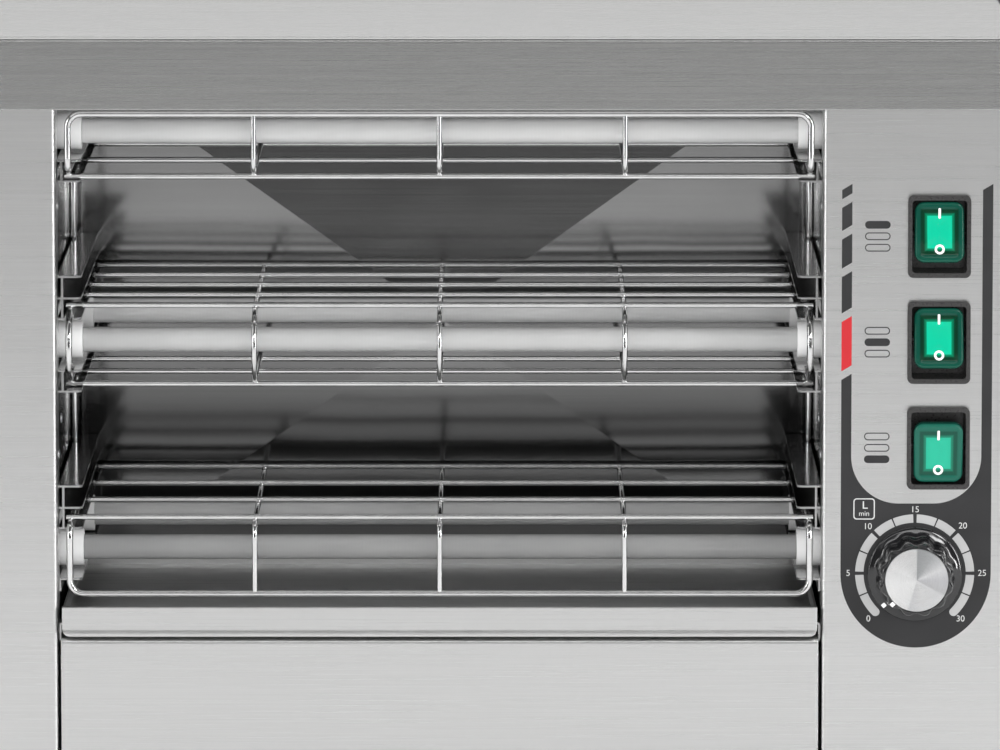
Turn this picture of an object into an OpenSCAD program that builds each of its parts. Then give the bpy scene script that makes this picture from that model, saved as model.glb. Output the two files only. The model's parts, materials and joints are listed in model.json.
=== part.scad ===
// Double-deck quartz toaster: stainless case, three heater rows behind wire guards,
// empty rack channels, sliding crumb tray, three rocker switches and a timer dial.
// Front faces -Y, +Z up, origin on the floor under the middle of the overall box.

/* [Case] */
// Overall width across the top cover
body_w = 458; // [420:1:520]
// Depth from the front plane to the outer face of the rear panel
body_d = 230; // [222:1:280]
// Height of the case without its feet
body_h = 320; // [318:1:360]
// Width of the left column, measured from the cover's outer face
column_w = 36; // [34:1:60]
// Width of the control panel, measured from the cover's outer face
panel_w = 86; // [80:1:110]
// Height of the top cover's front skirt
skirt_h = 32; // [24:1:40]
// Height of the fascia below the crumb tray
fascia_h = 54; // [50:1:56]
// Thickness of the case and cavity sheet
sheet = 1; // [0.8:0.1:1.2]
// Outer radius of the folded sheet edges
bend_r = 2.4; // [1.6:0.2:3]
// Depth of the folded returns beside the opening
return_d = 14; // [10:1:20]
// Gap between the fascia and its neighbours
seam = 1.1; // [0.6:0.1:1.6]
// Height of the upturned flanges inside the case
flange_h = 12; // [9:1:16]

/* [Cavity] */
// Depth from the front plane to the cavity back wall
cavity_d = 180; // [176:1:190]
// Height of the lowest heater row above the fascia's top edge
first_row = 34.5; // [33:0.5:38]
// Drop of the highest heater row below the opening's top edge
top_row_drop = 13.5; // [12:0.5:16]
// How far the cross-broken back wall stands forward in its middle
back_break = 3; // [1:0.5:3.5]
// Depth of the front tubes' axes
tube_front_d = 43; // [38:1:60]
// Depth of the rear tubes' axes
tube_rear_d = 150; // [130:1:156]

/* [Heaters] */
// Outside diameter of a quartz tube
tube_od = 11; // [10:0.2:12]
// Wall thickness of a quartz tube
tube_wall = 1; // [0.8:0.1:1.4]
// Outside diameter of a ceramic cap
cap_od = 16.2; // [15:0.1:17]
// Reach of a ceramic cap into the cavity
cap_in = 9.6; // [8:0.2:12]
// Length of a ceramic cap
cap_len = 24; // [22:1:28]
// Diameter of a terminal stud
stud_d = 4; // [3:0.5:5]
// Length of a terminal stud outside its cap
stud_out = 9; // [8:0.5:9]

/* [Rails] */
// Sheet thickness of the rails
rail_t = 1; // [0.8:0.1:1.2]
// Width of a rail's flanges
rail_w = 10.5; // [9:0.5:11]
// Gap between a rail's web and the side of the opening
rail_web = 1.6; // [1:0.1:1.6]
// Depth of the rails' front ends
rail_front = 8; // [8:0.5:14]
// Clear height of the slot that takes a rack
rack_slot = 8.5; // [7:0.1:10]
// Clear height of the slot that takes a guard
guard_slot = 8.1; // [7.5:0.1:9]
// Middle of an upper rail's lowest flange above its heater axis
upper_rail_z = 13.4; // [12:0.1:15]
// Middle of a lower rail's lowest flange below its heater axis
lower_rail_z = 18.8; // [18.6:0.1:20]
// Middle of the ledge flange below the lowest heater axis
ledge_z = 9.3; // [9.2:0.1:9.4]

/* [Guards] */
// Diameter of the guards' frame wire
frame_wire = 3; // [2.6:0.1:3.2]
// Diameter of the guards' cross wires
cross_wire = 2.6; // [2:0.1:2.8]
// Diameter of the guards' struts
strut_wire = 2.4; // [2:0.1:2.8]
// Distance of a guard's end wires from the sides of the opening
guard_side = 5; // [4.8:0.1:6.5]
// Depth of the guards' front wires
guard_front = 5; // [4:0.5:6]
// Bend radius of the guards' frame corners
guard_bend = 6; // [5:0.5:8]
// Number of gaps between a guard's end wires
guard_bays = 4; // [3:1:6]
// Depth of the top guard's middle cross wire
top_cross_d = 80.5; // [70:0.5:110]
// Height of the top guard's front wire above the top heater axis
top_guard_rise = 11.2; // [10:0.1:11.6]
// Drop of the bottom guard's front wire below the bottom heater axis
bottom_guard_drop = 15.4; // [14.5:0.1:17]

/* [Crumb tray] */
// Gap between the crumb tray and each side of the opening
tray_side = 1.7; // [1:0.1:4]
// Depth of the crumb tray
tray_d = 175; // [150:1:175]
// Height of the tray's floor above the fascia
tray_floor_z = 6; // [5:0.5:7]
// Height of the tray's front lip
tray_lip_h = 13; // [11:0.5:13.5]
// Height of the tray's side walls
tray_side_h = 7; // [5:0.5:8]
// How far the tray's lip stands proud of the front plane
tray_proud = 2; // [1.5:0.5:4]
// Diameter of the rolled hem on the tray's lip
tray_hem = 2.7; // [2.2:0.1:3.2]

/* [Switches] */
// Width of a switch bezel
bezel_w = 27.6; // [27.4:0.1:30]
// Height of a switch bezel
bezel_h = 36.3; // [36:0.1:40]
// How far a bezel stands proud of the panel
bezel_proud = 2.4; // [1.5:0.1:3]
// Width of a rocker
rocker_w = 23.2; // [21:0.1:23.4]
// Height of a rocker's face
rocker_h = 27.3; // [25:0.1:28]
// Distance from a rocker's pivot to the middle of its face
rocker_reach = 14; // [13:0.2:15]
// Depth of a rocker's pivot behind the panel face
pivot_d = 11; // [10:0.2:12]
// Diameter of a rocker's pivot pin
pivot_pin = 3; // [2.5:0.1:3.4]
// Swing of a rocker between on and off
rocker_swing = 18; // [14:1:20]
// Depth of a switch body behind the panel
switch_depth = 26; // [24:1:30]
// Middle of the switches from the control panel's inner edge
switch_x = 51.2; // [44:0.2:54]
// Height of the lowest switch above the fascia's top edge
switch_z = 84.7; // [82:0.5:92]
// Vertical pitch of the switches
switch_pitch = 46.8; // [44:0.2:52]

/* [Timer] */
// Middle of the dial from the control panel's inner edge
dial_x = 41.2; // [38:0.2:46]
// Height of the dial above the fascia's top edge
dial_z = 29; // [26:0.5:34]
// Radius of the knob's skirt
knob_skirt_r = 20.9; // [18:0.1:23]
// Radius of the knob's grip
knob_grip_r = 17.2; // [15:0.1:18]
// Height of the knob
knob_h = 21.5; // [18:0.5:26]
// Number of finger flutes round the knob
knob_flutes = 12; // [8:1:16]
// Radius of the disc on the knob's front
disc_r = 13.8; // [11:0.1:14]
// Diameter of the timer shaft
shaft_d = 6; // [5:0.5:7]
// Width of the timer's square movement
timer_w = 44; // [38:1:46]
// Depth of the timer's movement
timer_depth = 34; // [28:1:40]

/* [Feet and rear] */
// Height of the feet
foot_h = 30; // [22:1:36]
// Radius of a foot at its top
foot_r = 15; // [12:0.5:18]
// Distance of the feet from the case's outer faces
foot_inset = 30; // [24:1:40]
// How far the cable gland stands out of the rear panel
gland_out = 14; // [10:1:20]
// Diameter of the gland's thread
gland_d = 16; // [14:0.5:20]
// Bore of the gland
gland_bore = 8; // [6:0.5:9]
// Number of vent slots in a row
vent_count = 12; // [8:1:12]
// Width of a vent slot
vent_w = 4; // [3:0.5:5]

/* [Hidden] */
$fn = 48;

// Colours
steel = [0.72, 0.72, 0.71];
dark_steel = [0.42, 0.42, 0.42];
chrome = [0.85, 0.85, 0.86];
quartz = [0.9, 0.9, 0.89];
ceramic = [0.95, 0.95, 0.94];
black = [0.06, 0.06, 0.06];
green = [0.05, 0.6, 0.4];
brass = [0.75, 0.6, 0.3];
pale_plastic = [0.85, 0.84, 0.8];

// Clearances
seat_gap = 0.1;
run_gap = 0.3;
pin_gap = 0.05;
hole_gap = 0.2;
slide_gap = 0.3;
knob_gap = 0.5;
weld_sink = 0.3;
notch_gap = 0.5;
cut = 1;

// Overall frame: the knob stands in front of the case and the gland behind it
front_y = knob_gap + knob_h - (knob_gap + knob_h + body_d + gland_out) / 2;
case_bottom = foot_h;
case_top = foot_h + body_h;
fascia_top = foot_h + fascia_h;
opening_top = case_top - skirt_h;
shell_h = body_h - sheet - bend_r;

// Opening between the columns
side_x = body_w / 2 - sheet;
opening_l = column_w - body_w / 2;
opening_r = body_w / 2 - panel_w;
opening_w = opening_r - opening_l;
cavity_x = (opening_l + opening_r) / 2;

// Cavity shell
wall_drop = 14;
wall_rise = 10;
roof_rise = 6;
floor_drop = 10;
wall_bottom = fascia_top - wall_drop;
wall_top = opening_top + wall_rise;
roof_z = opening_top + roof_rise;
floor_z = fascia_top - floor_drop;
wall_back = cavity_d + sheet + flange_h;
break_rim = 3;

// Heater rows
row_names = ["bottom", "middle", "top"];
place_names = ["front", "rear"];
tube_depths = [tube_front_d, tube_rear_d];
function row_z(row) = fascia_top + first_row + row * row_pitch;
bottom_row = 0;
middle_row = 1;
top_row = 2;
row_pitch = (opening_top - top_row_drop - fascia_top - first_row) / top_row;
cap_socket = 15;
stud_in = 12;
coil_d = tube_od - 2 * tube_wall - 2 * run_gap;
coil_wall = 1.2;
cap_hole_d = cap_od + 2 * hole_gap;
tube_end = cap_in - cap_socket;
bar_w = 2.5 * stud_d;
bar_t = 1.5;

// Rails
rail_end_gap = 2;
rail_corner = 1.6;
rail_len = cavity_d - rail_end_gap - rail_front;
ledge_web_h = 5;
runner_web_h = 8;
rack_flanges = [
    upper_rail_z,
    upper_rail_z + guard_slot + rail_t,
    upper_rail_z + guard_slot + rack_slot + 2 * rail_t
];
guard_flanges = [-lower_rail_z, -lower_rail_z + guard_slot + rail_t];

// Guards: legs lie on the rails, cross wires lie outside the legs
guard_w = opening_w - 2 * guard_side;
end_xs = [cavity_x - guard_w / 2, cavity_x + guard_w / 2];
strut_xs = [for (i = [1 : guard_bays - 1]) end_xs[0] + i * guard_w / guard_bays];
cross_over = 1.7;
cross_end_gap = 2;
leg_over = 4;
hairpin_in = 1;
upper_cross_count = 5;
lower_cross_count = 4;
bottom_cross_count = 4;
frame_r = frame_wire / 2;
cross_r = cross_wire / 2;
strut_r = strut_wire / 2;
cross_reach = guard_w / 2 + cross_over;
upper_leg_z = upper_rail_z + rail_t / 2 + seat_gap + frame_r;
upper_cross_z = upper_leg_z + frame_r + cross_r - weld_sink;
lower_cross_z = -lower_rail_z + rail_t / 2 + seat_gap + cross_r;
lower_leg_z = lower_cross_z + cross_r + frame_r - weld_sink;
hairpin_r = (upper_leg_z - lower_leg_z) / 2;
hairpin_d = guard_front + hairpin_in + hairpin_r;
bend_d = guard_front + guard_bend;
guard_end_gap = 4;
guard_back = cavity_d - guard_end_gap;
short_back = tube_rear_d + leg_over;

// Crumb tray
tray_w = opening_w - 2 * tray_side;
tray_z = fascia_top + tray_floor_z;
lip_gap = 1;
lip_bottom = fascia_top + lip_gap;
lip_top = lip_bottom + tray_lip_h;
tray_x0 = cavity_x - tray_w / 2;
lip_corner = 4;
hem_r = tray_hem / 2;

// Switches
switch_cx = opening_r + switch_x;
rocker_rest = [-rocker_swing / 2, -rocker_swing / 2, rocker_swing / 2];
rocker_corner_a = atan2(rocker_h / 2, rocker_reach);
rocker_corner_r = norm([rocker_h / 2, rocker_reach]);
pocket_h = 2 * (rocker_corner_r * sin(rocker_corner_a + rocker_swing / 2) + run_gap);
pocket_side_gap = 0.4;
pocket_w = rocker_w + 2 * pocket_side_gap;
pocket_floor = 6;
pocket_depth = pivot_d + pocket_floor;
bezel_lap = 1;
bezel_r = 2.5;
pocket_r = 1.5;
switch_body_w = bezel_w - 2 * bezel_lap;
switch_body_h = bezel_h - 2 * bezel_lap;
pin_end_gap = 0.5;
rocker_dish = 1.2;
rocker_waist = 1;
rocker_r = 2.6;
rocker_boss = pivot_pin / 2 + 2.4;
tab_w = 6.3;
tab_t = 0.8;
tab_len = 9;
tab_sink = 0.5;
switch_tab_x = 6;
switch_tab_z = 9;
function switch_cz(i) = fascia_top + switch_z + (2 - i) * switch_pitch;

// Timer
dial_cx = opening_r + dial_x;
dial_cz = fascia_top + dial_z;
skirt_t = 4;
skirt_edge = 1.5;
grip_rise = 0.6;
grip_draft = 0.6;
grip_edge = 2;
knob_cap = 6;
disc_t = 1.2;
disc_recess = 0.4;
bush_r = 5;
flute_r = 3.2;
flute_depth = 1.4;
flute_lift = 0.2;
timer_plate_t = 3;
timer_case_in = 2;
timer_tab_x = 8;
timer_tab_z = -10;

// Rear and fasteners
gland_x = opening_r + panel_w / 2;
gland_z = case_bottom + 34;
gland_flange_t = 4;
gland_hex_r = gland_d / 2 + 3.5;
gland_dome_r = gland_d / 2 + 1.6;
gland_tip_r = gland_d / 2 - 0.3;
thread_over = 3;
nut_t = 5;
thread_len = sheet + nut_t + thread_over;
screw_head_d = 7;
screw_head_h = 2;
screw_dome_r = 6.2;
screw_d = 3.8;
screw_len = 8;
screw_hole_d = screw_d + 2 * hole_gap;
cover_side_h = 26;
cover_screw_z = case_top - 14;
cover_screw_inset = 57;
cover_screw_ds = [cover_screw_inset, body_d - cover_screw_inset];
rear_inset = 18;
rear_lift = 30;
rear_screw_pts = [
    for (x = [-1, 1], z = [case_bottom + rear_lift, case_top - rear_lift])
        [x * (body_w / 2 - rear_inset), z],
    [0, case_bottom + flange_h / 2 + sheet]
];
foot_x = body_w / 2 - foot_inset;
foot_y = [foot_inset, body_d - foot_inset];
foot_screw_d = 6;
foot_recess_r = 7;
foot_recess_h = 6;
foot_edge = 1;
foot_taper = 2;
foot_screw_head_h = 3.5;
foot_screw_over = 8;
base_vent_len = 36;
base_vent_pitch = 8;
base_vent_x = gland_x - 20;
side_vent_count = 8;
side_vent_len = 40;
side_vent_pitch = 9;
side_vent_z = case_bottom + 50;
rear_vent_pitch = 12;
rear_vent_len = 32;
rear_vent_zs = [case_top - 62, case_top - 110];
control_vent_count = 5;
control_vent_len = 60;
control_vent_z = case_top - 86;

// Terminal block
block_ways = 4;
way_pitch = 12;
way_w = 10;
way_d = 18;
way_h = 17;
block_d = 22;
block_h = 9;
block_back = 40;
well_d = 4.4;
well_h = 9;
well_ds = [6, 16];
lead_hole_d = 3.6;
lead_hole_z = 6;
way_xs = [for (i = [0 : block_ways - 1]) (i + 0.5) * way_pitch];

// Moves a shape from front-plane coordinates, with depth along +Y, to the object's frame
module placed() {
    translate([0, front_y, 0]) children();
}

// Puts a shape drawn with x running into the cavity on the left (-1) or right (1) wall
module cavity_side(side) {
    translate([cavity_x + side * opening_w / 2, 0, 0])
        mirror([side > 0 ? 1 : 0, 0, 0])
            children();
}

// Turns a 2D shape drawn in width and height into a plate that runs back from the front
module to_depth(d0, d1) {
    translate([0, d1, 0]) rotate([90, 0, 0]) linear_extrude(d1 - d0) children();
}

// Turns a 2D shape drawn in depth and height into a bar along the width
module to_width(x0, x1) {
    translate([x0, 0, 0]) rotate([90, 0, 90]) linear_extrude(x1 - x0) children();
}

// Rectangle with round corners, on its centre
module round_rect(w, h, r) {
    square([w - 2 * r, h], center = true);
    square([w, h - 2 * r], center = true);
    for (x = [-1, 1], y = [-1, 1])
        translate([x * (w / 2 - r), y * (h / 2 - r)]) circle(r);
}

// Quarter of a folded sheet edge in the first quadrant
module fold(r, t) {
    intersection() {
        difference() {
            circle(r);
            circle(r - t);
        }
        square(r);
    }
}

// Folded sheet channel: a front wall with a leg back from each end
module channel(w, leg_a, leg_b, t, r) {
    translate([r, 0]) square([w - 2 * r, t]);
    translate([0, r]) square([t, leg_a - r]);
    translate([w - t, r]) square([t, leg_b - r]);
    translate([r, r]) rotate(180) fold(r, t);
    translate([w - r, r]) rotate(270) fold(r, t);
}

// Upright sheet creased along both diagonals inside a flat rim, its middle forward by the given rise
module cross_broken_sheet(w, h, t, rise, rim) {
    outer = [[0, 0], [w, 0], [w, h], [0, h]];
    inner = [[rim, rim], [w - rim, rim], [w - rim, h - rim], [rim, h - rim]];
    count = len(outer);
    apex = 2 * count;
    back = apex + 1;
    points = [
        for (d = [0, t])
            each concat([for (c = concat(outer, inner)) [c[0], d, c[1]]], [[w / 2, d - rise, h / 2]])
    ];
    faces = [
        for (i = [0 : count - 1])
            let (j = (i + 1) % count, m = count + i, n = count + j)
                each [
                    [j, i, m, n],
                    [n, m, apex],
                    [back + i, back + j, back + n, back + m],
                    [back + m, back + n, back + apex],
                    [i, j, back + j, back + i]
                ]
    ];
    polyhedron(points, faces);
}

// Straight wires along the three axes
module wire_x(x0, x1, d, z, r) {
    translate([x0, d, z]) rotate([0, 90, 0]) cylinder(h = x1 - x0, r = r);
}
module wire_y(x, d0, d1, z, r) {
    translate([x, d1, z]) rotate([90, 0, 0]) cylinder(h = d1 - d0, r = r);
}
module wire_z(x, d, z0, z1, r) {
    translate([x, d, z0]) cylinder(h = z1 - z0, r = r);
}

// Wire bend in the depth and height plane, angles counted from the depth axis
module bend_side(x, d, z, radius, start, span, r) {
    translate([x, d, z]) rotate([90, 0, 90]) rotate(start)
        rotate_extrude(angle = span) translate([radius, 0]) circle(r);
}

// Wire bend in the front plane, angles counted from the width axis
module bend_front(x, d, z, radius, start, span, r) {
    translate([x, d, z]) rotate([90, 0, 0]) rotate(start)
        rotate_extrude(angle = span) translate([radius, 0]) circle(r);
}

// Count of even steps from one value to another
function spread(a, b, count) = [for (i = [0 : count - 1]) a + i * (b - a) / (count - 1)];

// Row of upright vent slots with round ends, drawn flat and centred on the origin
module vent_row(count, pitch, len) {
    straight = len - vent_w;
    for (i = [0 : count - 1])
        translate([(i - (count - 1) / 2) * pitch, 0]) {
            square([vent_w, straight], center = true);
            for (end = [-1, 1]) translate([0, end * straight / 2]) circle(d = vent_w);
        }
}

// Round cut through a sheet that faces the given side
module side_hole(d) {
    rotate([0, 90, 0]) cylinder(h = 4 * sheet, d = d, center = true);
}
module rear_hole(d) {
    rotate([90, 0, 0]) cylinder(h = 6 * sheet, d = d, center = true);
}

// Pan-head screw along -Y at the origin, head in front of the seat
module screw() {
    rotate([90, 0, 0]) {
        intersection() {
            cylinder(h = screw_head_h, d = screw_head_d);
            translate([0, 0, screw_head_h - screw_dome_r]) sphere(r = screw_dome_r);
        }
        translate([0, 0, -screw_len]) cylinder(h = screw_len + screw_head_h / 2, d = screw_d);
    }
}

// Cover with a front skirt, a folded lip over the opening and side skirts
module top_cover() color(steel) placed() {
    difference() {
        union() {
            to_width(-body_w / 2 + sheet, body_w / 2 - sheet) {
                translate([bend_r - sheet, case_top - sheet]) square([body_d - bend_r + sheet, sheet]);
                translate([-sheet, opening_top]) square([sheet, skirt_h - bend_r]);
                translate([bend_r - sheet, case_top - bend_r]) rotate(90) fold(bend_r, sheet);
            }
            to_width(opening_l + seam, opening_r - seam)
                translate([-sheet, opening_top]) square([return_d + sheet, sheet]);
            for (side = [0, 1]) mirror([side, 0, 0])
                translate([-body_w / 2, 0, 0]) {
                    to_width(0, sheet) difference() {
                        translate([-sheet, case_top - cover_side_h])
                            square([body_d + sheet, cover_side_h]);
                        translate([bend_r - sheet, case_top - bend_r]) rotate(90)
                            difference() {
                                square(bend_r);
                                circle(bend_r);
                            }
                    }
                    translate([0, -sheet, opening_top]) cube([sheet, sheet, skirt_h - cover_side_h + sheet]);
                }
        }
        for (side = [-1, 1], d = cover_screw_ds)
            translate([side * body_w / 2, d, cover_screw_z]) side_hole(screw_hole_d);
    }
}

// Left side wall folded round into the front column and its return
module left_column() color(steel) placed() {
    difference() {
        translate([-side_x, 0, case_bottom + sheet])
            linear_extrude(shell_h)
                channel(side_x + opening_l, body_d - sheet, return_d, sheet, bend_r);
        for (d = cover_screw_ds)
            translate([-side_x, d, cover_screw_z]) side_hole(screw_hole_d);
    }
}

// Flat right side wall with a block of vent slots
module right_side_panel() color(steel) placed() {
    difference() {
        translate([side_x - sheet, 0, case_bottom + sheet])
            cube([sheet, body_d - sheet, shell_h]);
        for (d = cover_screw_ds)
            translate([side_x, d, cover_screw_z]) side_hole(screw_hole_d);
        translate([0, body_d / 2, side_vent_z])
            to_width(side_x - 2 * sheet, side_x + sheet)
                vent_row(side_vent_count, side_vent_pitch, side_vent_len);
    }
}

// Front panel with cut-outs for the switches and the timer
module control_panel() color(steel) placed() {
    difference() {
        translate([opening_r, 0, case_bottom + sheet])
            linear_extrude(shell_h)
                channel(side_x - sheet - opening_r, return_d, return_d, sheet, bend_r);
        for (i = [0 : 2])
            translate([switch_cx, 0, switch_cz(i)])
                cube([switch_body_w + 2 * hole_gap, 8 * sheet, switch_body_h + 2 * hole_gap], center = true);
        translate([dial_cx, 0, dial_cz]) rotate([90, 0, 0])
            cylinder(h = 8 * sheet, r = bush_r + hole_gap, center = true);
    }
}

// Floor of the case with the front fascia and upturned flanges
module base_pan() color(steel) placed() {
    fascia_l = opening_l + seam;
    fascia_r = opening_r - seam;
    inner_x = side_x - sheet;
    difference() {
        union() {
            to_width(fascia_l, fascia_r) {
                translate([bend_r, case_bottom]) square([body_d - bend_r - 2 * sheet, sheet]);
                translate([0, case_bottom + bend_r]) square([sheet, fascia_h - 2 * bend_r]);
                translate([bend_r, fascia_top - sheet]) square([return_d - bend_r, sheet]);
                translate([bend_r, case_bottom + bend_r]) rotate(180) fold(bend_r, sheet);
                translate([bend_r, fascia_top - bend_r]) rotate(90) fold(bend_r, sheet);
            }
            for (span = [[-side_x, fascia_l], [fascia_r, side_x]])
                translate([span[0], 0, case_bottom]) cube([span[1] - span[0], body_d - 2 * sheet, sheet]);
            translate([bend_r - inner_x, body_d - 2 * sheet, case_bottom])
                cube([2 * (inner_x - bend_r), sheet, flange_h + sheet]);
        }
        for (x = [-foot_x, foot_x], d = foot_y)
            translate([x, d, case_bottom - sheet]) cylinder(h = 3 * sheet, d = foot_screw_d + 2 * hole_gap);
        for (p = rear_screw_pts)
            translate([p[0], body_d, p[1]]) rear_hole(screw_hole_d);
        translate([base_vent_x, body_d / 2, case_bottom - sheet]) rotate(90)
            linear_extrude(3 * sheet) vent_row(vent_count, base_vent_pitch, base_vent_len);
    }
}

// Back cover with forward legs, vent slots and the gland hole
module rear_panel() color(steel) placed() {
    inner_x = side_x - sheet;
    difference() {
        translate([inner_x, body_d, case_bottom + sheet])
            rotate(180) linear_extrude(shell_h)
                channel(2 * inner_x, 2 * flange_h, 2 * flange_h, sheet, bend_r);
        for (p = rear_screw_pts)
            translate([p[0], body_d, p[1]]) rear_hole(screw_hole_d);
        to_depth(body_d - 3 * sheet, body_d + sheet) {
            for (z = rear_vent_zs)
                translate([cavity_x, z]) vent_row(vent_count, rear_vent_pitch, rear_vent_len);
            translate([gland_x, control_vent_z])
                vent_row(control_vent_count, rear_vent_pitch, control_vent_len);
        }
        translate([gland_x, body_d, gland_z]) rear_hole(gland_d + 2 * hole_gap);
    }
}

// Side wall of the cavity with the six cap holes
module cavity_wall(side) {
    cavity_side(side) difference() {
        translate([-2 * sheet, bend_r, wall_bottom])
            cube([sheet, wall_back - bend_r, wall_top - wall_bottom]);
        for (row = [0 : 2], d = tube_depths)
            translate([-3 * sheet, d, row_z(row)]) rotate([0, 90, 0])
                cylinder(h = 3 * sheet, d = cap_hole_d);
    }
}
module cavity_left_wall() color(dark_steel) placed() cavity_wall(-1);
module cavity_right_wall() color(dark_steel) placed() cavity_wall(1);

// Rear reflector with legs that lie against the side walls
module cavity_back_wall() color(dark_steel) placed() {
    wall_w = opening_w + 2 * sheet;
    flat_w = wall_w - 2 * bend_r;
    flat_h = fascia_top - wall_bottom;
    translate([opening_l - sheet, cavity_d, wall_bottom]) {
        linear_extrude(roof_z - wall_bottom) difference() {
            channel(wall_w, flange_h + sheet, flange_h + sheet, sheet, bend_r);
            translate([bend_r + break_rim, -cut]) square([flat_w - 2 * break_rim, sheet + 2 * cut]);
        }
        translate([bend_r, 0, 0]) cube([flat_w, sheet, flat_h + break_rim]);
        translate([bend_r, 0, flat_h])
            cross_broken_sheet(flat_w, roof_z - fascia_top, sheet, back_break, break_rim);
    }
}

// Reflector over the top row, resting on the back wall
module cavity_roof() color(dark_steel) placed() {
    translate([opening_l - sheet, return_d + 2 * sheet, roof_z])
        cube([opening_w + 2 * sheet, cavity_d - return_d + flange_h, sheet]);
}

// Plate under the crumb tray
module cavity_floor() color(dark_steel) placed() {
    translate([opening_l - sheet, return_d + 2 * sheet, floor_z])
        cube([opening_w + 2 * sheet, cavity_d - return_d - 2 * sheet, sheet]);
}

// Folded rail: an upright web and a flange at each height, seen from the side wall.
// The flange with the given number is notched from the front for a guard's end wire.
module rail(side, base_z, heights, notched, notch_d) {
    low = min(heights) - rail_t / 2;
    high = max(heights) + rail_t / 2;
    cavity_side(side) translate([0, rail_front, base_z]) {
        translate([rail_web, 0, low]) cube([rail_t, rail_len, high - low]);
        for (i = [0 : len(heights) - 1])
            translate([0, 0, heights[i] - rail_t / 2]) linear_extrude(rail_t)
                rail_flange(i == notched ? notch_d - rail_front : 0);
    }
}

// Outline of a flange with one corner cut and a notch of the given depth
module rail_flange(notch) {
    difference() {
        square([rail_w, rail_len]);
        translate([rail_w, 0]) rotate(45) square(rail_corner * sqrt(2), center = true);
        if (notch > 0)
            translate([guard_side - frame_r - notch_gap, -cut])
                square([frame_wire + 2 * notch_gap, notch + cut]);
    }
}
module upper_rack_rail(side) color(dark_steel) placed()
    rail(side, row_z(middle_row), rack_flanges, 0, hairpin_d);
module lower_rack_rail(side) color(dark_steel) placed()
    rail(side, row_z(bottom_row), rack_flanges, 0, bend_d);
module top_guard_rail(side) color(dark_steel) placed()
    rail(side, row_z(top_row), guard_flanges, -1, 0);
module middle_guard_rail(side) color(dark_steel) placed()
    rail(side, row_z(middle_row), guard_flanges, 1, hairpin_d);

// Angle below the lowest row, with its web turned down beside the tray
module bottom_ledge(side) color(dark_steel) placed() {
    cavity_side(side) translate([0, rail_front, row_z(bottom_row) - ledge_z - rail_t / 2]) {
        translate([0, 0, -ledge_web_h]) cube([rail_t, rail_len, ledge_web_h + rail_t]);
        linear_extrude(rail_t) rail_flange(0);
    }
}

// Angle that carries the crumb tray, fixed to the return and the cavity wall
module tray_runner(side) color(dark_steel) placed() {
    top = tray_z - slide_gap;
    cavity_side(side) translate([0, rail_front, top]) {
        translate([0, 0, -runner_web_h]) cube([rail_t, rail_len, runner_web_h]);
        translate([0, 0, -rail_t]) linear_extrude(rail_t) rail_flange(0);
    }
}

// Front frame of a straight guard: a loop wire whose ends fold back as the end wires
module folded_loop(loop_z, leg_z, leg_back) {
    up = loop_z > leg_z ? 1 : -1;
    corner_a = up > 0 ? [90, 0] : [180, 270];
    inner = guard_w / 2 - guard_bend;
    wire_x(cavity_x - inner, cavity_x + inner, guard_front, loop_z, frame_r);
    for (s = [-1, 1]) {
        bend_front(cavity_x + s * inner, guard_front, loop_z - up * guard_bend, guard_bend,
            s < 0 ? corner_a[0] : corner_a[1], 90, frame_r);
        x = cavity_x + s * guard_w / 2;
        z_a = loop_z - up * guard_bend;
        z_b = leg_z + up * guard_bend;
        wire_z(x, guard_front, min(z_a, z_b), max(z_a, z_b), frame_r);
        bend_side(x, bend_d, z_b, guard_bend, up > 0 ? 180 : 90, 90, frame_r);
        wire_y(x, bend_d, leg_back, leg_z, frame_r);
    }
}

// Strut of a straight guard: an upright from the loop wire that folds back into a leg
module folded_strut(x, loop_z, leg_z, leg_back) {
    up = loop_z > leg_z ? 1 : -1;
    z_b = leg_z + up * guard_bend;
    wire_z(x, guard_front, min(loop_z, z_b), max(loop_z, z_b), strut_r);
    bend_side(x, bend_d, z_b, guard_bend, up > 0 ? 180 : 90, 90, strut_r);
    wire_y(x, bend_d, leg_back, leg_z, strut_r);
}

// Cross wires of a guard at the given depths
module cross_wires(depths, z) {
    for (d = depths)
        wire_x(cavity_x - cross_reach, cavity_x + cross_reach, d, z, cross_r);
}

// Guard of the top row: upright front and a lower plane
module top_guard() color(chrome) placed() translate([0, 0, row_z(top_row)]) {
    folded_loop(top_guard_rise, lower_leg_z, short_back);
    for (x = strut_xs) folded_strut(x, top_guard_rise, lower_leg_z - frame_r + strut_r, short_back);
    cross_wires([bend_d, top_cross_d, short_back - cross_end_gap], lower_cross_z);
}

// One hairpin of the middle guard
module hairpin(x, r) {
    upper_z = upper_leg_z + frame_r - r;
    lower_z = lower_leg_z - frame_r + r;
    bend_side(x, hairpin_d, (upper_z + lower_z) / 2, (upper_z - lower_z) / 2, 90, 180, r);
    wire_y(x, hairpin_d, guard_back, upper_z, r);
    wire_y(x, hairpin_d, short_back, lower_z, r);
}

// Guard of the middle row: hairpin wires round the tubes with an upper and a lower plane
module middle_guard() color(chrome) placed() translate([0, 0, row_z(middle_row)]) {
    for (x = end_xs) hairpin(x, frame_r);
    for (x = strut_xs) hairpin(x, strut_r);
    cross_wires(spread(hairpin_d, guard_back - cross_end_gap, upper_cross_count), upper_cross_z);
    cross_wires(spread(hairpin_d, short_back - cross_end_gap, lower_cross_count), lower_cross_z);
}

// Guard of the bottom row: upright front and an upper plane
module bottom_guard() color(chrome) placed() translate([0, 0, row_z(bottom_row)]) {
    folded_loop(-bottom_guard_drop, upper_leg_z, guard_back);
    for (x = strut_xs) folded_strut(x, -bottom_guard_drop, upper_leg_z + frame_r - strut_r, guard_back);
    cross_wires(spread(bend_d, guard_back - cross_end_gap, bottom_cross_count), upper_cross_z);
}

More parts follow.
